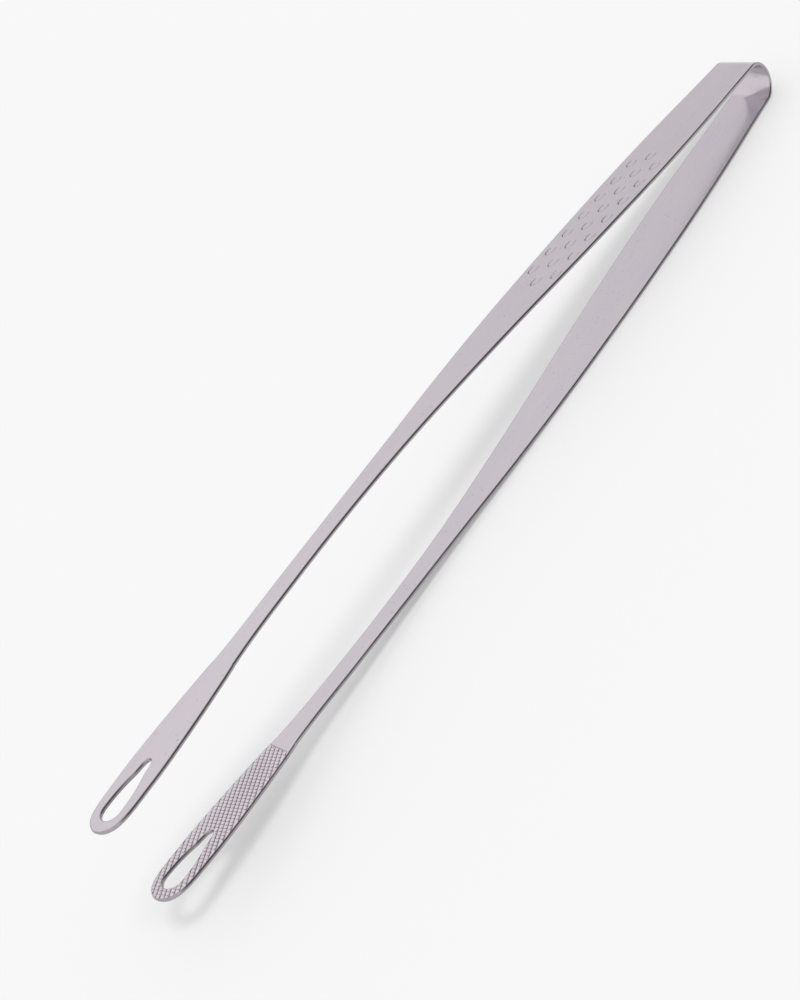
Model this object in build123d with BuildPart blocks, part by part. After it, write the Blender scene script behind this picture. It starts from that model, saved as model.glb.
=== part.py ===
from build123d import *
from math import cos, pi, radians, sin, tan
import os

# Print tongs: one strip of stainless sheet folded into a hairpin. They lie on the outer face of the lower
# blade. +X runs from the folded bow to the jaws, +Z is up, and the origin is the middle of the footprint.
# Lengths are in mm and angles in degrees. A station is a distance along an arm from the crown of the bow.

# Side view of one arm, along its centre line.
sheet = 0.8              # thickness of the strip
arm_length = 240.0       # developed length of one arm
bow_radius = 4.55        # centre line of the fold
splay = 3.4              # slope of a blade away from the mid plane
toe_in = 2.15            # slope of a jaw towards the mid plane
bend_start = 97.0        # where the blade starts to curve inwards
bend_end = 194.0         # where the arm is straight again
crown_skew = 16.0        # the crown is not square to the strip: its +Y side is further forward

# Stations where one zone of the strip ends and the next begins.
flex_station = 22.0      # middle of the length that bends when the arms are squeezed
grip_end = 112.0
jaw_start = 204.5

# Half width of the flat strip at stations along an arm: blade, narrow neck and paddle head.
crown_half_width = 6.15
half_widths = [
    (15.0, 6.5), (31.0, 7.15), (48.0, 7.4), (67.0, 7.1), (86.0, 6.45), (106.0, 5.4), (125.0, 4.25),
    (144.0, 3.05), (163.0, 2.45), (182.0, 2.35), (202.0, 2.85), (209.0, 3.7), (216.0, 4.3), (229.0, 4.8),
]
tip_radius = 4.4         # rounded end of the paddle head
tip_shoulder = 75.0      # how far the rounded end reaches round from the tip

# The teardrop eye in each paddle head.
eye_start = 224.4
eye_sides = [(227.8, 1.33), (231.3, 2.12)]
eye_radius = 2.35
eye_centre = 235.1

# Grip dimples, embossed in the outer face of each blade in three staggered rows.
dimple_length = 3.2
dimple_width = 1.9
dimple_depth = 0.2
dimple_pitch = 6.85
dimple_start = 45.9
dimples_in_middle_row = 8
dimple_row_gap = 4.1
dimple_row_lag = 1.3     # the rows slant: the +Y row is this much further forward, the -Y row as much back

cutter_half_width = 9.0  # wider than the strip everywhere
cutter_height = 60.0     # taller than the open tongs

# Derived sizes of the side view.
bow_end = bow_radius * (pi / 2 - radians(splay))
bend_radius = (bend_end - bend_start) / radians(splay + toe_in)
bow_centre = Vector(bow_radius, 0)
tip_centre = arm_length - tip_radius


def turned(heading, length):
    """A step of the given length along a heading in the side view."""
    return Vector(cos(radians(heading)), sin(radians(heading))) * length


def arm_point(station, outward=0.0):
    """A point of the upper arm in the side view, moved out from the centre line by outward."""
    if station <= bow_end:
        return bow_centre + turned(180 - station / bow_radius * 180 / pi, bow_radius + outward)
    blade = bow_centre + turned(90 + splay, bow_radius)
    if station <= bend_start:
        return blade + turned(splay, station - bow_end) + turned(90 + splay, outward)
    blade += turned(splay, bend_start - bow_end)
    bend_centre = blade + turned(splay - 90, bend_radius)
    heading = splay - (min(station, bend_end) - bend_start) / bend_radius * 180 / pi
    bend = bend_centre + turned(heading + 90, bend_radius + outward)
    return bend + turned(heading, max(station - bend_end, 0))


def mirrored(point, side):
    """The same point on the upper arm (side 1) or the lower arm (side -1)."""
    return Vector(point.X, side * point.Y)


def crown_shift(width):
    """How far forward the fold's centre lies, at a distance from the middle of the strip towards +Y."""
    return width * tan(radians(crown_skew)) / (1 - sin(radians(splay)))


def crown_radius(width):
    """The fold's radius there, which keeps the fold tangent to both flat blades."""
    return bow_radius + crown_shift(width) * sin(radians(splay))


# The mid plane leans by the splay, so that the lower blade is level and its outer face is at height 0.
# Along X the tongs are centred between the crown's -Y corner and the lower tip.
lower_face = bow_radius * (1 - sin(radians(splay))) + sheet / 2
rear = (bow_radius + crown_shift(-crown_half_width)) * cos(radians(splay))
rear -= crown_radius(-crown_half_width) + sheet / 2
lower_tip = arm_point(arm_length, sheet / 2)
front = lower_tip.X * cos(radians(splay)) + lower_tip.Y * sin(radians(splay))
along = Vector(cos(radians(splay)), 0, sin(radians(splay)))
square = Vector(-sin(radians(splay)), 0, cos(radians(splay)))
mid_origin = Vector(-(rear + front) / 2, 0, lower_face)
mid_plane = Plane(origin=mid_origin, x_dir=along, z_dir=square)
side_plane = Plane(origin=mid_origin, x_dir=along, z_dir=(0, -1, 0))


def strip_section(start, end, side):
    """The side view of one arm between two stations, as a face."""
    stations = [start] + [s for s in (bend_start, bend_end) if start < s < end] + [end]
    with BuildLine() as border:
        for outward in (sheet / 2, -sheet / 2):
            for first, last in zip(stations, stations[1:]):
                points = [arm_point(s, outward) for s in (first, (first + last) / 2, last)]
                points = [mirrored(point, side) for point in points]
                if bend_start <= first < bend_end:
                    ThreePointArc(*points)
                else:
                    Line(points[0], points[2])
        for station in (start, end):
            Line(*[mirrored(arm_point(station, outward), side) for outward in (sheet / 2, -sheet / 2)])
    make_face(border.edges())


def bow_section(width):
    """The side view of the fold and its two legs, at a distance from the middle of the strip, as a face."""
    centre = bow_centre + Vector(crown_shift(width), 0)
    with BuildLine() as border:
        for outward in (sheet / 2, -sheet / 2):
            radius = crown_radius(width) + outward
            tangent_point = centre + turned(90 + splay, radius)
            leg_end = arm_point(flex_station, outward)
            ThreePointArc(tangent_point, centre - Vector(radius, 0), mirrored(tangent_point, -1))
            for side in (1, -1):
                Line(mirrored(tangent_point, side), mirrored(leg_end, side))
        for side in (1, -1):
            Line(*[mirrored(arm_point(flex_station, outward), side) for outward in (sheet / 2, -sheet / 2)])
    make_face(border.edges())


def strip_outline():
    """The strip seen square to the mid plane, as a face."""
    shoulder = Vector(arm_point(tip_centre).X, 0) + turned(tip_shoulder, tip_radius)
    points = [Vector(-cutter_half_width, crown_half_width)]
    points += [Vector(arm_point(station).X, half) for station, half in half_widths]
    points += [shoulder]
    leaving = turned(tip_shoulder - 90, 1)
    with BuildLine() as border:
        for side in (1, -1):
            Spline(*[mirrored(point, side) for point in points], tangents=[(1, 0), mirrored(leaving, side)])
        tip = (arm_point(tip_centre).X + tip_radius, 0)
        ThreePointArc(shoulder, tip, mirrored(shoulder, -1))
        Line(points[0], mirrored(points[0], -1))
    make_face(border.edges())


def eye_outline():
    """The teardrop eye: pointed towards the bow, round at the tip."""
    point = Vector(arm_point(eye_start).X, 0)
    round_top = Vector(arm_point(eye_centre).X, eye_radius)
    edge = [point] + [Vector(arm_point(station).X, half) for station, half in eye_sides] + [round_top]
    with BuildLine() as border:
        for side in (1, -1):
            Spline(*[mirrored(corner, side) for corner in edge], tangents=[(0, side), (1, 0)])
        ThreePointArc(round_top, (round_top.X + eye_radius, 0), mirrored(round_top, -1))
    make_face(border.edges())


def blade_face(side):
    """The outer face of a blade, with its local origin at the first dimple of the middle row."""
    start = mirrored(arm_point(dimple_start, sheet / 2), side)
    lean = radians(splay * side)
    return Plane(
        origin=mid_origin + along * start.X + square * start.Y,
        x_dir=along * cos(lean) + square * sin(lean),
        z_dir=(square * cos(lean) - along * sin(lean)) * side,
    )


def dimple_places():
    """Centres of the dimples: a middle row, and on each side a row with one dimple less, staggered."""
    middle = [(dimple_pitch * n, 0) for n in range(dimples_in_middle_row)]
    outer = [(dimple_pitch * (n + 0.5) + row * dimple_row_lag, row * dimple_row_gap)
             for n in range(dimples_in_middle_row - 1) for row in (-1, 1)]
    return middle + outer


os.makedirs("parts", exist_ok=True)

# Folded end: a cone-like fold that runs tangent into a short leg on each side.
with BuildPart() as spring_bow:
    with BuildSketch(side_plane.offset(cutter_half_width)):
        bow_section(-cutter_half_width)
    with BuildSketch(side_plane.offset(-cutter_half_width)):
        bow_section(cutter_half_width)
    loft(ruled=True)
    with BuildSketch(mid_plane):
        strip_outline()
    extrude(amount=cutter_height, both=True, mode=Mode.INTERSECT)
spring_bow.part.label = "spring_bow"
export_step(spring_bow.part, "parts/spring_bow.step")

# The two arms, each in three zones.
for arm, side in (("lower", -1), ("upper", 1)):
    with BuildPart() as grip:
        with BuildSketch(side_plane):
            strip_section(flex_station, grip_end, side)
        extrude(amount=cutter_half_width, both=True)
        with BuildSketch(mid_plane):
            strip_outline()
        extrude(amount=cutter_height, both=True, mode=Mode.INTERSECT)
        with BuildSketch(blade_face(side)):
            with Locations(*dimple_places()):
                Ellipse(dimple_length / 2, dimple_width / 2)
        extrude(amount=-dimple_depth, mode=Mode.SUBTRACT)
    grip.part.label = f"{arm}_grip"
    export_step(grip.part, f"parts/{arm}_grip.step")

    with BuildPart() as shank:
        with BuildSketch(side_plane):
            strip_section(grip_end, jaw_start, side)
        extrude(amount=cutter_half_width, both=True)
        with BuildSketch(mid_plane):
            strip_outline()
        extrude(amount=cutter_height, both=True, mode=Mode.INTERSECT)
    shank.part.label = f"{arm}_shank"
    export_step(shank.part, f"parts/{arm}_shank.step")

    with BuildPart() as jaw:
        with BuildSketch(side_plane):
            strip_section(jaw_start, arm_length, side)
        extrude(amount=cutter_half_width, both=True)
        with BuildSketch(mid_plane):
            strip_outline()
        extrude(amount=cutter_height, both=True, mode=Mode.INTERSECT)
        with BuildSketch(mid_plane):
            eye_outline()
        extrude(amount=cutter_height, both=True, mode=Mode.SUBTRACT)
    jaw.part.label = f"{arm}_jaw"
    export_step(jaw.part, f"parts/{arm}_jaw.step")
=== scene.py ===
from math import atan2, ceil, cos, floor, hypot, pi, radians, sin, tan
from random import Random

import bmesh
import bpy
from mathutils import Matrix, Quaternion, Vector
from mathutils.geometry import delaunay_2d_cdt


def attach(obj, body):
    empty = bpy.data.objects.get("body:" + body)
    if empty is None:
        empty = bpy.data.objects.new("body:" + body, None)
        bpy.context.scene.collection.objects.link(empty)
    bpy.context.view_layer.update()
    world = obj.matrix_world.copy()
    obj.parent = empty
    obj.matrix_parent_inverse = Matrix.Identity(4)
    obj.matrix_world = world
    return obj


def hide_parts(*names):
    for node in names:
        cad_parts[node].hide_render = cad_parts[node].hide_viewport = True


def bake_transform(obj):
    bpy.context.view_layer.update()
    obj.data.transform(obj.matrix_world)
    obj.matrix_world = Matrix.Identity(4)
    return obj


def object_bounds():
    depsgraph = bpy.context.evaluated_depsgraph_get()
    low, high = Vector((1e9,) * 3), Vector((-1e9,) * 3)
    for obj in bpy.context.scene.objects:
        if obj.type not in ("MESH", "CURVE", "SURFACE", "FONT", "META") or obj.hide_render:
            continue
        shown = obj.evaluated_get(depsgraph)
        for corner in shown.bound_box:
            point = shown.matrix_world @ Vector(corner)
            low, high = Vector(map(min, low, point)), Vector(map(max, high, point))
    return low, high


# Print tongs: one strip of satin stainless sheet folded into a hairpin.
# Lengths are in metres. A point of the strip is (path, width, outward): path runs along the strip from the
# lower tip (negative) through the crown of the fold (0) to the upper tip, width is the distance from the
# middle of the strip towards +Y, and outward is the distance from mid thickness towards the outer face.

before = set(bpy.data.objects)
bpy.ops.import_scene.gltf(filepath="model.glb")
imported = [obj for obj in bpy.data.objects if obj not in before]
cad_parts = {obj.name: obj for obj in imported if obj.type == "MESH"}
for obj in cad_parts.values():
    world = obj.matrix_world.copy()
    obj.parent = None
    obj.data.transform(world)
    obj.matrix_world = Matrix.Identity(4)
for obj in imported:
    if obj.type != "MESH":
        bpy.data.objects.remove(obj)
cad_low, cad_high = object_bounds()

# Side view of one arm, as in the CAD.
sheet = 0.0008
arm_length = 0.240
bow_radius = 0.00455
splay = radians(3.4)
toe_in = radians(2.15)
bend_start = 0.097
bend_end = 0.194
crown_skew = radians(16)

# Plan of the strip, as in the CAD: half widths at distances from the crown. The curve through them starts
# a little before it.
half_widths = [
    (-0.0064, 0.00615), (0.015, 0.0065), (0.031, 0.00715), (0.048, 0.0074), (0.067, 0.0071),
    (0.086, 0.00645), (0.106, 0.0054), (0.125, 0.00425), (0.144, 0.00305), (0.163, 0.00245),
    (0.182, 0.00235), (0.202, 0.00285), (0.209, 0.0037), (0.216, 0.0043), (0.229, 0.0048),
]
tip_radius = 0.0044
tip_shoulder = radians(75)
eye_start = 0.2244
eye_sides = [(0.2278, 0.00133), (0.2313, 0.00212)]
eye_radius = 0.00235
eye_centre = 0.2351

# Where one visible piece ends and the next begins. The flexures lie where the real strip bends and follow
# no body; the other pieces each follow one.
fold_end = 0.010
flexure_end = 0.034
blade_end = 0.112
neck_end = 0.2025

# A paddle head's side: the half widths that it follows, and its direction at the first of them.
paddle_places = half_widths[-4:]
paddle_way = (0.98, 0.19)

# How close the points of the meshes are along the edges and inside the faces, and how many cross a cut end.
curve_spacing = 0.0002
fold_spacing = 0.0004
arm_spacing = 0.001
flexure_face_spacing = 0.002
arm_face_spacing = 0.003
fold_rows = (-0.66, -0.33, 0, 0.33, 0.66)
arm_rows = (-0.5, 0, 0.5)
band_cuts = 6
paddle_cuts = 10
first_gap = 0.4 * curve_spacing  # a paddle's first point keeps this far from its cut end
crown_level = 0.001              # the strip keeps one width this near to the crown
crease_angle = radians(38)
stray_size = 1e-6                # faces thinner than this are taken out

# Materials of each piece, by the number that a face holds.
# Painted light: the second material darkens the edges as a painted dark reflection, and it and the third
# paint shade into grooves and dimples.
plain_face, painted_edge_shade, painted_deep_shade, knurled_face = range(4)

# Edges of the sheet, rolled to a blunt wedge: (distance inside the outline, distance from mid thickness).
edge_shape = [
    (0.00029, sheet / 2), (0.00019, sheet / 2), (0.00015, 0.00038), (0.00013, 0.00034),
    (0.00001, 0.00004), (0.0, 0.0),
]
edge_inset = edge_shape[0][0]

# Grip dimples: shallow ovals with a steep wall, struck unevenly, and deeper at the end towards the jaws.
dimple_length = 0.0036
dimple_width = 0.0020
dimple_depth = 0.00025
dimple_strikes = (0.45, 1.0)  # each one's depth, as a share of the full depth
strike_seed = 7
dimple_lean = 0.38
dimple_pitch = 0.00685
dimple_start = 0.0459
dimples_in_middle_row = 8
dimple_row_gap = 0.0041
dimple_row_lag = 0.0013

# Rings of a dimple, as (distance inside its mouth, share of its depth, points), and how far round from its
# deep end the wall gets painted shade: the darkest, then the edges' darker painted shade.
dimple_rim = 0.00013
dimple_wall = 0.00024
dimple_rings = [
    (-dimple_rim, 0.0, 28), (0.0, 0.04, 28), (0.00003, 0.15, 28), (0.00014, 0.88, 28),
    (dimple_wall, 0.97, 28), (0.0007, 1.0, 12),
]
dimple_deep_shade_reach = radians(40)
dimple_edge_shade_reach = radians(150)

# Knurl: two families of V grooves, as (heading, pitch, half width of a groove, depth). They start at a
# groove across the paddle, as (half width, depth). The darkest painted shade lies in the main grooves below
# a share of their depth and in a strip of the start groove, and the edges' darker painted shade lies in the
# cross grooves below the same share.
knurl_start = 0.2045
knurl_slant = radians(8.5)
main_grooves = (radians(28), 0.00100, 0.00018, 0.00014)
cross_grooves = (radians(-83), 0.00076, 0.00012, 0.00009)
start_groove = (0.00012, 0.0001)
start_groove_shade = 0.00006
groove_shade_share = 0.62
knurl_margin = 0.00014        # from the paddle's edges to the nearest lattice point
knurl_start_margin = 0.0002   # from the start groove's middle to the nearest lattice point
knurl_half_span = 0.006       # the lattice is made over a band wider than the paddle
start_points = 12             # of the start groove, on each side of the middle

# Steel: noise cells per metre along X, Y and Z, and what the brushing and the pits do to the colour.
brushing_cells = (45, 9000, 45)
mottle_cells = (70, 160, 160)
pit_cells = (2200, 2200, 2200)
brushing_shade = (0.93, 0.93, 0.93)
brushing_depth = 0.00002
pit_shade = (0.62, 0.60, 0.60)
pit_levels = (0.17, 0.21)
gloss_spread = (-0.05, 0.06)
white = (1, 1, 1)

bow_end = bow_radius * (pi / 2 - splay)
bend_radius = (bend_end - bend_start) / (splay + toe_in)
tip_centre = arm_length - tip_radius


def turned(heading, length):
    """A step of the given length along a heading."""
    return Vector((cos(heading), sin(heading))) * length


def arm_point(station, outward):
    """A point of the upper arm in the side view, at a distance from the crown, past the fold."""
    blade = Vector((bow_radius, 0)) + turned(pi / 2 + splay, bow_radius)
    if station <= bend_start:
        return blade + turned(splay, station - bow_end) + turned(pi / 2 + splay, outward)
    blade += turned(splay, bend_start - bow_end)
    bend_centre = blade + turned(splay - pi / 2, bend_radius)
    heading = splay - (min(station, bend_end) - bend_start) / bend_radius
    bend = bend_centre + turned(heading + pi / 2, bend_radius + outward)
    return bend + turned(heading, max(station - bend_end, 0))


# The tongs lie on the outer face of the lower blade, and their lower tip is the front of the CAD box.
lower_tip = arm_point(arm_length, sheet / 2)
lower_face = bow_radius * (1 - sin(splay)) + sheet / 2
along = Vector((cos(splay), 0, sin(splay)))
square = Vector((-sin(splay), 0, cos(splay)))
crown = Vector((cad_high.x - lower_tip.dot(Vector((cos(splay), sin(splay)))), 0, cad_low.z + lower_face))


def strip_point(path, width, outward):
    """The place in the scene of a point of the strip, whose crown lies further forward towards +Y."""
    side = 1 if path >= 0 else -1
    station = abs(path)
    shift = width * tan(crown_skew) / (1 - sin(splay))
    fold_reach = bow_end + shift * cos(splay)
    if station < fold_reach:
        turn = station / fold_reach * (pi / 2 - splay)
        radius = bow_radius + shift * sin(splay) + outward
        x, z = bow_radius + shift - radius * cos(turn), radius * sin(turn)
    else:
        x, z = arm_point(station, outward)
    return crown + along * x + square * (side * z) + Vector((0, width, 0))


def curve_through(points, first_way, last_way):
    """Close points on the smooth curve through the given points."""
    points = [Vector(p) for p in points]
    steps = [(b - a).length for a, b in zip(points, points[1:])]
    ways = [Vector(first_way)]
    for i in range(1, len(points) - 1):
        before = (points[i] - points[i - 1]) / steps[i - 1]
        after = (points[i + 1] - points[i]) / steps[i]
        ways.append((before * steps[i] + after * steps[i - 1]) / (steps[i - 1] + steps[i]))
    ways.append(Vector(last_way))
    made = []
    for a, b, way_a, way_b, step in zip(points, points[1:], ways, ways[1:], steps):
        count = max(1, ceil(step / curve_spacing))
        for i in range(count):
            t = i / count
            made.append(
                a * (1 - t) ** 2 * (1 + 2 * t) + b * t * t * (3 - 2 * t)
                + way_a * (step * t * (1 - t) ** 2) - way_b * (step * t * t * (1 - t))
            )
    return made + [points[-1]]


def arc_points(centre, radius, start, end):
    """Close points of an arc between two headings, without its first point."""
    count = max(2, ceil(abs(end - start) * radius / curve_spacing))
    return [Vector(centre) + turned(start + (end - start) * (i + 1) / count, radius) for i in range(count)]


shoulder = Vector((tip_centre, 0)) + turned(tip_shoulder, tip_radius)
shoulder_way = turned(tip_shoulder - pi / 2, 1)
side_curve = curve_through(half_widths + [shoulder], (1, 0), shoulder_way)


def half_width(path):
    """Half width of the strip at a place on its path."""
    station = max(abs(path), crown_level)
    for a, b in zip(side_curve, side_curve[1:]):
        if station <= b.x:
            return a.y + (b.y - a.y) * (station - a.x) / (b.x - a.x)
    return side_curve[-1].y


def cut_end(a, b, count):
    """Points of a square cut end between two corners, which the rolled edge doesn't inset."""
    return [(a.lerp(b, i / count), Vector((0, 0))) for i in range(1, count)]


def band_outline(start, end, spacing):
    """A loop of (point, inset direction) of a stretch of the strip between two places on its path."""
    count = ceil((end - start) / spacing)
    paths = [start + (end - start) * i / count for i in range(count + 1)]
    near = [Vector((p, -half_width(p))) for p in paths]
    far = [Vector((p.x, -p.y)) for p in reversed(near)]
    return (
        [(p, Vector((0, 1))) for p in near] + cut_end(near[-1], far[0], band_cuts)
        + [(p, Vector((0, -1))) for p in far] + cut_end(far[-1], near[0], band_cuts))


def paddle_outline(side):
    """A loop of (point, inset direction) of a paddle head, round at the tip, cut where the neck begins."""
    side_points = curve_through(paddle_places + [shoulder], paddle_way, shoulder_way)
    flank = [Vector((neck_end, half_width(neck_end)))]
    flank += [p for p in side_points if p.x > neck_end + first_gap]
    flank += arc_points((tip_centre, 0), tip_radius, tip_shoulder, 0)
    outline = flank + [Vector((p.x, -p.y)) for p in reversed(flank[:-1])]
    loop = []
    for i, p in enumerate(outline):
        tangent = outline[min(i + 1, len(outline) - 1)] - outline[max(i - 1, 0)]
        inwards = Vector((tangent.y, -tangent.x)).normalized()
        if i in (0, len(outline) - 1):  # a corner of the cut end moves along it
            inwards = Vector((0, -1 if p.y > 0 else 1))
        loop.append((p, inwards))
    loop += cut_end(outline[-1], outline[0], paddle_cuts)
    return on_arm(loop, side, 1)


def eye_outline(side):
    """A loop of (point, direction into the sheet) of the teardrop eye."""
    round_top = Vector((eye_centre, eye_radius))
    flank = curve_through([(eye_start, 0)] + eye_sides + [round_top], (0, 1), (1, 0))
    flank += arc_points((eye_centre, 0), eye_radius, pi / 2, 0)
    outline = flank + [Vector((p.x, -p.y)) for p in reversed(flank[1:-1])]
    loop = []
    for i, p in enumerate(outline):
        tangent = outline[(i + 1) % len(outline)] - outline[i - 1]
        loop.append((p, Vector((-tangent.y, tangent.x)).normalized()))
    loop[0] = (outline[0], Vector((-1, 0)))  # the sharp point
    return on_arm(loop, side, -1)


def on_arm(loop, side, way):
    """A loop moved to the upper (side 1) or lower (side -1) arm, counterclockwise (way 1) or clockwise
    (way -1) in (path, width).
    """
    loop = [(Vector((p.x * side, p.y)), Vector((d.x * side, d.y))) for p, d in loop]
    points = [p for p, _ in loop]
    area = sum(a.x * b.y - b.x * a.y for a, b in zip(points, points[1:] + points[:1]))
    return loop if area * way > 0 else loop[::-1]


def inside(point, loop):
    """Whether a point lies inside a closed loop of points."""
    within = False
    for a, b in zip(loop, loop[1:] + loop[:1]):
        if (a.y > point.y) != (b.y > point.y):
            if point.x < a.x + (b.x - a.x) * (point.y - a.y) / (b.y - a.y):
                within = not within
    return within


def clearance(point, loops):
    """Distance from a point to the nearest corner of some loops."""
    return min(hypot(p.x - point.x, p.y - point.y) for loop in loops for p in loop)


def grid_points(start, end, spacing, rows):
    """Points inside a band, in rows along it at shares of its half width, with no edges between them."""
    count = max(1, round((end - start) / spacing))
    made = []
    for i in range(1, count):
        path = start + (end - start) * i / count
        reach = half_width(path) - edge_inset
        made += [Vector((path, reach * row)) for row in rows]
    return made, []


def on_upper(point):
    """The same place on the upper arm, whose path is a distance from the crown."""
    return Vector((abs(point.x), point.y)).freeze()


def no_relief(point, face):
    return 0.0


def plain_finish(point, face):
    return plain_face


def sheet_piece(name, loops, outer, inner, relief=no_relief, finish=plain_finish):
    """A closed piece of the strip.

    loops are lists of (point, inset direction), the first one round the piece and the rest round its holes.
    outer and inner are (points, edges between them) that the two faces take in. relief(point, face) is how
    far a face is sunk at a point, and finish(point, face) is its material there, with face 1 for the outer
    face and -1 for the inner one. Both take points of the upper arm, for both arms.
    """
    mesh = bmesh.new()
    profile = edge_shape + [(inset, -outward) for inset, outward in reversed(edge_shape[:-1])]
    rims = {1: [], -1: []}
    for loop in loops:
        rings = []
        for inset, outward in profile:
            ring = []
            face = 1 if outward > 0 else -1
            for point, way in loop:
                at = point + way * inset
                sunk = relief(on_upper(at), face) if abs(outward) == sheet / 2 else 0.0
                ring.append((mesh.verts.new(strip_point(at.x, at.y, outward - face * sunk)), at))
            rings.append(ring)
        for upper, lower in zip(rings, rings[1:]):
            for i in range(len(upper)):
                j = (i + 1) % len(upper)
                face = mesh.faces.new((upper[i][0], lower[i][0], lower[j][0], upper[j][0]))
                face.material_index = painted_edge_shade
        rims[1].append(rings[0])
        rims[-1].append(rings[-1])
    for face, marks in ((1, outer), (-1, inner)):
        fill_face(mesh, rims[face], face, marks, relief, finish)
    bmesh.ops.dissolve_degenerate(mesh, dist=stray_size, edges=mesh.edges)
    bmesh.ops.recalc_face_normals(mesh, faces=mesh.faces)
    data = bpy.data.meshes.new(name)
    mesh.to_mesh(data)
    mesh.free()
    data.shade_smooth()
    data.set_sharp_from_angle(angle=crease_angle)
    piece = bpy.data.objects.new(name, data)
    bpy.context.scene.collection.objects.link(piece)
    return piece


def fill_face(mesh, rims, face, marks, relief, finish):
    """Fills one face of a piece between its rims, taking in the marked points and edges."""
    holes = [[at for _, at in rim] for rim in rims[1:]]
    places, verts, edges = [], [], []
    for rim in rims:
        first = len(places)
        places += [at for _, at in rim]
        verts += [vert for vert, _ in rim]
        edges += [(first + i, first + (i + 1) % len(rim)) for i in range(len(rim))]
    first = len(places)
    for at in marks[0]:
        places.append(at)
        outward = face * (sheet / 2 - relief(on_upper(at), face))
        verts.append(mesh.verts.new(strip_point(at.x, at.y, outward)))
    edges += [(first + a, first + b) for a, b in marks[1]]
    # Triangulated inside the outer rim (output type 1), in millimetres to suit the tolerance.
    scale = 1000
    places = [at * scale for at in places]
    places, _, triangles, origins, _, _ = delaunay_2d_cdt(places, edges, [], 1, 1e-7)
    for triangle in triangles:
        middle = sum((Vector(places[i]) for i in triangle), Vector((0, 0))) / (3 * scale)
        if any(inside(middle, hole) for hole in holes):
            continue
        corners = [verts[origins[i][0]] for i in triangle]
        if face < 0:
            corners.reverse()
        made = mesh.faces.new(corners)
        made.material_index = finish(on_upper(middle), face)


def dimple_places():
    """Centres of the dimples of one arm, as (distance from the crown, width)."""
    places = [(dimple_start + dimple_pitch * n, 0) for n in range(dimples_in_middle_row)]
    for row in (-1, 1):
        places += [
            (dimple_start + dimple_pitch * (n + 0.5) + row * dimple_row_lag, row * dimple_row_gap)
            for n in range(dimples_in_middle_row - 1)]
    return places


def dimple_marks(side):
    """The points and edges of the dimples on a blade's outer face, and how deep each point lies."""
    points, edges, depths = [], [], {}
    strike = Random(strike_seed)
    for station, width in dimple_places():
        full = dimple_depth * strike.uniform(*dimple_strikes)
        for inset, share, count in dimple_rings:
            first = len(points)
            for i in range(count):
                a = 2 * pi * i / count
                at = Vector((
                    side * (station + cos(a) * (dimple_length / 2 - inset)),
                    width + sin(a) * (dimple_width / 2 - inset)))
                lean = 1 - dimple_lean + dimple_lean * cos(a) * (1 - inset * 2 / dimple_length)
                depths[on_upper(at)] = share * full * lean
                points.append(at)
                edges.append((first + i, first + (i + 1) % count))
        middle = Vector((side * station, width))
        depths[on_upper(middle)] = full * (1 - dimple_lean)
        points.append(middle)
    return points, edges, depths


def dimple_material_and_shade(point):
    """The material of a blade's outer face.

    The darkest painted shade lies at the deep end of a dimple's wall and on its rim towards +Y, and the
    rest of the wall gets the edges' darker painted shade.
    """
    for station, width in dimple_places():
        x, y = point.x - station, point.y - width
        within_rim, within_mouth, within_floor = [
            hypot(x / (dimple_length / 2 - inset), y / (dimple_width / 2 - inset)) < 1
            for inset in (-dimple_rim, 0.0, dimple_wall)]
        around = atan2(y, x)
        if within_rim and not within_floor and abs(around) < dimple_edge_shade_reach:
            if not within_mouth:
                return painted_deep_shade if around > 0 else plain_face
            return painted_deep_shade if abs(around) < dimple_deep_shade_reach else painted_edge_shade
    return plain_face


def groove(distance, reach):
    """Share of its depth that a V groove has at a distance from its middle."""
    return max(0.0, 1 - abs(distance) / reach)


def groove_row(point, heading, pitch, reach):
    """Share of its depth that the nearest of a row of parallel grooves has at a point."""
    across = cos(heading) * point.y - sin(heading) * point.x
    return groove(((across / pitch + 0.5) % 1 - 0.5) * pitch, reach)


def knurl_line(width):
    """Distance from the crown where the knurl starts."""
    return knurl_start + width * tan(knurl_slant)


def knurl_depth(point):
    """How deep the knurl is in a paddle's inner face."""
    past = point.x - knurl_line(point.y)
    reach, full = start_groove
    depths = [full * groove(past, reach)]
    if past > 0:
        for heading, pitch, reach, full in (main_grooves, cross_grooves):
            depths.append(full * groove_row(point, heading, pitch, reach))
    return max(depths)


def knurl_material_and_shade(point):
    """The material of a paddle's inner face, with painted shade in its grooves."""
    past = point.x - knurl_line(point.y)
    if past < 0:
        return painted_deep_shade if past > -start_groove_shade else plain_face
    for finish, (heading, pitch, reach, _) in ((painted_deep_shade, main_grooves), (painted_edge_shade, cross_grooves)):
        if groove_row(point, heading, pitch, reach) > groove_shade_share:
            return finish
    return knurled_face


def knurl_points():
    """Points of the knurl's lattice: on both edges and the bottom of each groove of both families."""
    headings, pitches, reaches, _ = zip(main_grooves, cross_grooves)
    corners = [(x, y) for x in (neck_end, arm_length) for y in (-knurl_half_span, knurl_half_span)]
    families = []
    for heading, pitch, reach in zip(headings, pitches, reaches):
        across = [cos(heading) * y - sin(heading) * x for x, y in corners]
        rows = range(floor(min(across) / pitch), ceil(max(across) / pitch) + 1)
        families.append([[i * pitch + off for off in (-reach, 0, reach)] for i in rows])
    (cos_a, sin_a), (cos_b, sin_b) = [(cos(heading), sin(heading)) for heading in headings]
    determinant = cos_a * sin_b - sin_a * cos_b
    points = []
    for row_a in families[0]:
        for row_b in families[1]:
            for a in row_a:
                for b in row_b:
                    x = (a * cos_b - b * cos_a) / determinant
                    y = (a * sin_b - b * sin_a) / determinant
                    points.append(Vector((x, y)))
    return points


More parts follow.
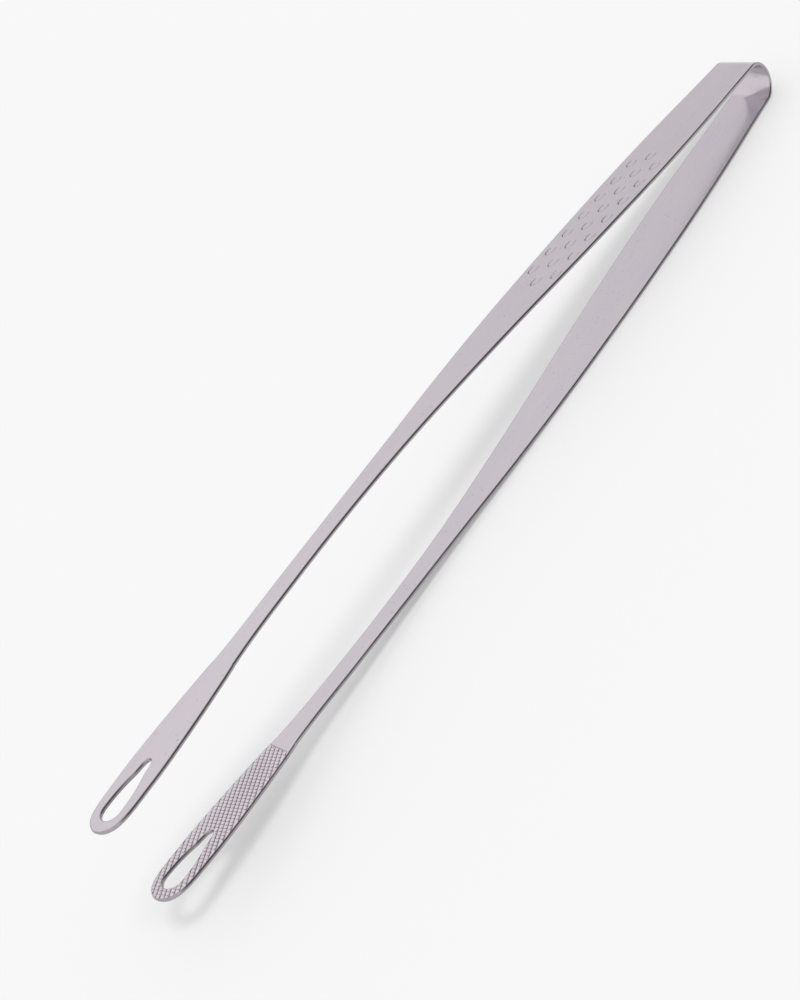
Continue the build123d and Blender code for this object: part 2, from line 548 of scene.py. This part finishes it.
def knurl_marks(side, borders):
    """The lattice points that lie inside a paddle's inner face, and the groove where the knurl starts."""
    outline, eye = borders
    points = []
    for p in knurl_points():
        if p.x < knurl_line(p.y) + knurl_start_margin or not (neck_end < p.x < arm_length):
            continue
        at = Vector((p.x * side, p.y))
        if inside(at, outline) and not inside(at, eye) and clearance(at, borders) > knurl_margin:
            points.append(at)
    reach = half_width(knurl_start) - edge_inset
    for off in (-start_groove[0], 0, start_groove[0]):
        for i in range(-start_points, start_points + 1):
            width = reach * i / (start_points + 1)
            points.append(Vector((side * (knurl_line(width) + off), width)))
    return points, []


def noise(nodes, links, source, cells, detail, roughness=0.5):
    """A noise texture with a number of cells per metre along each axis."""
    mapping = nodes.new("ShaderNodeMapping")
    mapping.inputs["Scale"].default_value = cells
    links.new(source, mapping.inputs["Vector"])
    texture = nodes.new("ShaderNodeTexNoise")
    texture.inputs["Scale"].default_value = 1.0
    texture.inputs["Detail"].default_value = detail
    texture.inputs["Roughness"].default_value = roughness
    links.new(mapping.outputs["Vector"], texture.inputs["Vector"])
    return texture.outputs["Fac"]


def ramp(nodes, links, source, *stops):
    """A colour ramp of (place, colour) stops."""
    made = nodes.new("ShaderNodeValToRGB")
    while len(made.color_ramp.elements) < len(stops):
        made.color_ramp.elements.new(0.5)
    for element, (place, colour) in zip(made.color_ramp.elements, stops):
        element.position = place
        element.color = (*colour, 1)
    links.new(source, made.inputs["Fac"])
    return made.outputs["Color"]


def to_range(nodes, links, source, low, high, from_low=0.3, from_high=0.7):
    """A value mapped to low at from_low and to high at from_high, and held there beyond."""
    made = nodes.new("ShaderNodeMapRange")
    made.inputs["From Min"].default_value = from_low
    made.inputs["From Max"].default_value = from_high
    made.inputs["To Min"].default_value = low
    made.inputs["To Max"].default_value = high
    links.new(source, made.inputs["Value"])
    return made.outputs["Result"]


def multiply(nodes, links, first, second):
    """The product of two colours."""
    made = nodes.new("ShaderNodeMix")
    made.data_type = "RGBA"
    made.blend_type = "MULTIPLY"
    made.inputs["Factor"].default_value = 1.0
    links.new(first, made.inputs["A"])
    links.new(second, made.inputs["B"])
    return made.outputs["Result"]


def steel(name, light, dark, roughness, grain):
    """Satin stainless, brushed lengthwise and faintly mottled between two colours, with small pits.

    Grain is the strength of the brushing's bump.
    """
    material = bpy.data.materials.new(name)
    material.use_nodes = True
    nodes, links = material.node_tree.nodes, material.node_tree.links
    shader = nodes["Principled BSDF"]
    place = nodes.new("ShaderNodeTexCoord").outputs["Object"]
    brushing = noise(nodes, links, place, brushing_cells, 4.0, 0.6)
    mottle = noise(nodes, links, place, mottle_cells, 2.0)
    pits = noise(nodes, links, place, pit_cells, 0.0)
    colour = ramp(nodes, links, mottle, (0.35, light), (0.65, dark))
    lines = ramp(nodes, links, brushing, (0.3, brushing_shade), (0.7, white))
    spots = ramp(nodes, links, pits, (pit_levels[0], pit_shade), (pit_levels[1], white))
    brushed = multiply(nodes, links, colour, lines)
    links.new(multiply(nodes, links, brushed, spots), shader.inputs["Base Color"])
    gloss = to_range(nodes, links, brushing, *[roughness + off for off in gloss_spread])
    links.new(gloss, shader.inputs["Roughness"])
    shader.inputs["Metallic"].default_value = 1.0
    bump = nodes.new("ShaderNodeBump")
    bump.inputs["Strength"].default_value = grain
    bump.inputs["Distance"].default_value = brushing_depth
    links.new(brushing, bump.inputs["Height"])
    links.new(bump.outputs["Normal"], shader.inputs["Normal"])
    return material


# In the order of the numbers that the faces hold. The edge steel is painted darker: a painted dark
# reflection on the edges, and painted shade in grooves and dimples. The groove steel is painted shade and
# is darker still.
steels = [
    steel("satin_face", (0.613, 0.573, 0.605), (0.594, 0.560, 0.607), 0.17, 0.12),
    steel("edge_steel_painted_shade", (0.44, 0.41, 0.43), (0.38, 0.36, 0.38), 0.12, 0.1),
    steel("groove_steel_painted_shade", (0.26, 0.24, 0.26), (0.20, 0.18, 0.20), 0.35, 0.1),
    steel("knurled_face", (0.70, 0.64, 0.69), (0.66, 0.61, 0.65), 0.20, 0.1),
]


def finished(piece, nodes):
    """Gives a piece its materials and hides the CAD nodes that it stands for."""
    for material in steels:
        piece.data.materials.append(material)
    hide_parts(*nodes)


def bow_fold():
    """The fold, which the two flexures join."""
    marks = grid_points(-fold_end, fold_end, fold_spacing, fold_rows)
    piece = sheet_piece("bow_fold", [band_outline(-fold_end, fold_end, fold_spacing)], marks, marks)
    finished(piece, ["spring_bow"])
    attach(piece, "bow")


def flexure(arm, side):
    """The stretch of a blade between the fold and the rest of its arm, where the real strip bends; the
    piece follows no body.
    """
    start, end = sorted((side * fold_end, side * flexure_end))
    marks = grid_points(start, end, flexure_face_spacing, arm_rows)
    piece = sheet_piece(f"{arm}_flexure", [band_outline(start, end, arm_spacing)], marks, marks)
    finished(piece, ["spring_bow", f"{arm}_grip"])
    strip_point(side * fold_end, 0, 0)
    strip_point(side * flexure_end, 0, 0)
    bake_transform(piece)


def blade(arm, side):
    """The rest of the blade, with its dimples."""
    start, end = sorted((side * flexure_end, side * blade_end))
    points, edges, depths = dimple_marks(side)
    piece = sheet_piece(
        f"{arm}_blade", [band_outline(start, end, arm_spacing)],
        (points, edges), grid_points(start, end, arm_face_spacing, arm_rows),
        lambda point, face: depths.get(point, 0.0) if face > 0 else 0.0,
        lambda point, face: dimple_material_and_shade(point) if face > 0 else plain_face)
    finished(piece, [f"{arm}_grip"])
    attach(piece, f"{arm}_arm")


def neck(arm, side):
    """The narrow part of an arm."""
    start, end = sorted((side * blade_end, side * neck_end))
    marks = grid_points(start, end, arm_face_spacing, arm_rows)
    piece = sheet_piece(f"{arm}_neck", [band_outline(start, end, arm_spacing)], marks, marks)
    finished(piece, [f"{arm}_shank"])
    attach(piece, f"{arm}_arm")


def paddle(arm, side):
    """A paddle head, with its eye and its knurled inner face."""
    loops = [paddle_outline(side), eye_outline(side)]
    borders = [[point + way * edge_inset for point, way in loop] for loop in loops]
    piece = sheet_piece(
        f"{arm}_paddle", loops, ([], []), knurl_marks(side, borders),
        lambda point, face: knurl_depth(point) if face < 0 else 0.0,
        lambda point, face: knurl_material_and_shade(point) if face < 0 else plain_face)
    finished(piece, [f"{arm}_jaw"])
    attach(piece, f"{arm}_arm")


bow_fold()
for arm, side in (("lower", -1), ("upper", 1)):
    flexure(arm, side)
    blade(arm, side)
    neck(arm, side)
    paddle(arm, side)

# Studio: the floor's size, its colour and how much of its brightness is its own, and the soft key light.
floor_reach = 8.0
floor_colour = (0.545, 0.561, 0.547, 1)
floor_glow = 0.245
key_strength = 1.1
key_way = (0.0, -0.42, -1.0)
key_spread = radians(20)

# The room's colours as (place, colour), from 0 in direction -X to 1 in direction +X.
walls = [
    (0.1, (0.80, 0.775, 0.795)), (0.225, (0.95, 0.92, 0.945)),
    (0.325, (1.05, 1.02, 1.045)), (0.5, (1.01, 0.98, 1.005)),
]
# Its dark part: the way there, how near to that way and how low it starts and is full, and its brightness.
dark_way = (-0.53, 0.85, 0.0)
dark_nearness = (0.55, 0.85)
dark_heights = (0.4, 0.6)
dark_level = 0.16
backdrop = 0.93  # what the camera sees beyond the floor


def floor_piece():
    """Plain pale studio floor under the tongs, lit a little from within so that shadows stay faint."""
    data = bpy.data.meshes.new("floor")
    corners = [(-1, -1), (1, -1), (1, 1), (-1, 1)]
    corners = [(x * floor_reach, y * floor_reach, cad_low.z) for x, y in corners]
    data.from_pydata(corners, [], [(0, 1, 2, 3)])
    material = bpy.data.materials.new("pale_floor")
    material.use_nodes = True
    shader = material.node_tree.nodes["Principled BSDF"]
    shader.inputs["Base Color"].default_value = floor_colour
    shader.inputs["Roughness"].default_value = 0.9
    shader.inputs["Specular IOR Level"].default_value = 0.0
    shader.inputs["Emission Color"].default_value = (1, 1, 1, 1)
    shader.inputs["Emission Strength"].default_value = floor_glow
    data.materials.append(material)
    piece = bpy.data.objects.new("floor", data)
    bpy.context.scene.collection.objects.link(piece)


def pale_room():
    """A pale room, a little darker beyond the fold, and with a dark part low down beside it."""
    world = bpy.data.worlds.new("studio")
    bpy.context.scene.world = world
    world.use_nodes = True
    nodes, links = world.node_tree.nodes, world.node_tree.links
    direction = nodes.new("ShaderNodeTexCoord").outputs["Generated"]
    split = nodes.new("ShaderNodeSeparateXYZ")
    links.new(direction, split.inputs[0])

    def towards(way, start, end):
        """How near a direction is to way, from 0 at the dot product start to 1 at end."""
        dot = nodes.new("ShaderNodeVectorMath")
        dot.operation = "DOT_PRODUCT"
        dot.inputs[1].default_value = Vector(way).normalized()
        links.new(direction, dot.inputs[0])
        return to_range(nodes, links, dot.outputs["Value"], 0, 1, start, end)

    def mixed(share, first, second):
        """A colour mixed with a grey, by a share of the grey."""
        mix = nodes.new("ShaderNodeMix")
        mix.data_type = "RGBA"
        links.new(share, mix.inputs["Factor"])
        links.new(first, mix.inputs["A"])
        mix.inputs["B"].default_value = (second, second, second, 1)
        return mix.outputs["Result"]

    room = ramp(nodes, links, to_range(nodes, links, split.outputs["X"], 0, 1, -1, 1), *walls)
    dark = nodes.new("ShaderNodeMath")
    dark.operation = "MULTIPLY"
    links.new(towards(dark_way, *dark_nearness), dark.inputs[0])
    links.new(to_range(nodes, links, split.outputs["Z"], 1, 0, *dark_heights), dark.inputs[1])
    room = mixed(dark.outputs["Value"], room, dark_level)
    seen = nodes.new("ShaderNodeLightPath").outputs["Is Camera Ray"]
    links.new(mixed(seen, room, backdrop), nodes["Background"].inputs["Color"])
    nodes["Background"].inputs["Strength"].default_value = 1.0


def key_light():
    """Soft light from high up on the near side, that throws the faint shadows."""
    key = bpy.data.lights.new("key", "SUN")
    key.energy = key_strength
    key.angle = key_spread
    lamp = bpy.data.objects.new("key", key)
    lamp.rotation_mode = "QUATERNION"
    lamp.rotation_quaternion = Vector(key_way).to_track_quat("-Z", "Y")
    lamp.visible_glossy = False
    bpy.context.scene.collection.objects.link(lamp)


def camera():
    """Looks down along the tongs from beside their tips."""
    place = Vector((0.1781, 0.2398, 0.1865))
    aim = Vector((0.0174, -0.0230, 0))
    roll = radians(-37.3)
    data = bpy.data.cameras.new("camera")
    data.sensor_width = 36
    data.lens = 61.03
    data.clip_start = 0.01
    made = bpy.data.objects.new("camera", data)
    made.rotation_mode = "QUATERNION"
    made.location = place
    made.rotation_quaternion = (aim - place).to_track_quat("-Z", "Y") @ Quaternion((0, 0, 1), roll)
    bpy.context.scene.collection.objects.link(made)
    bpy.context.scene.camera = made


floor_piece()
pale_room()
key_light()
camera()
bpy.context.scene.view_settings.view_transform = "Standard"
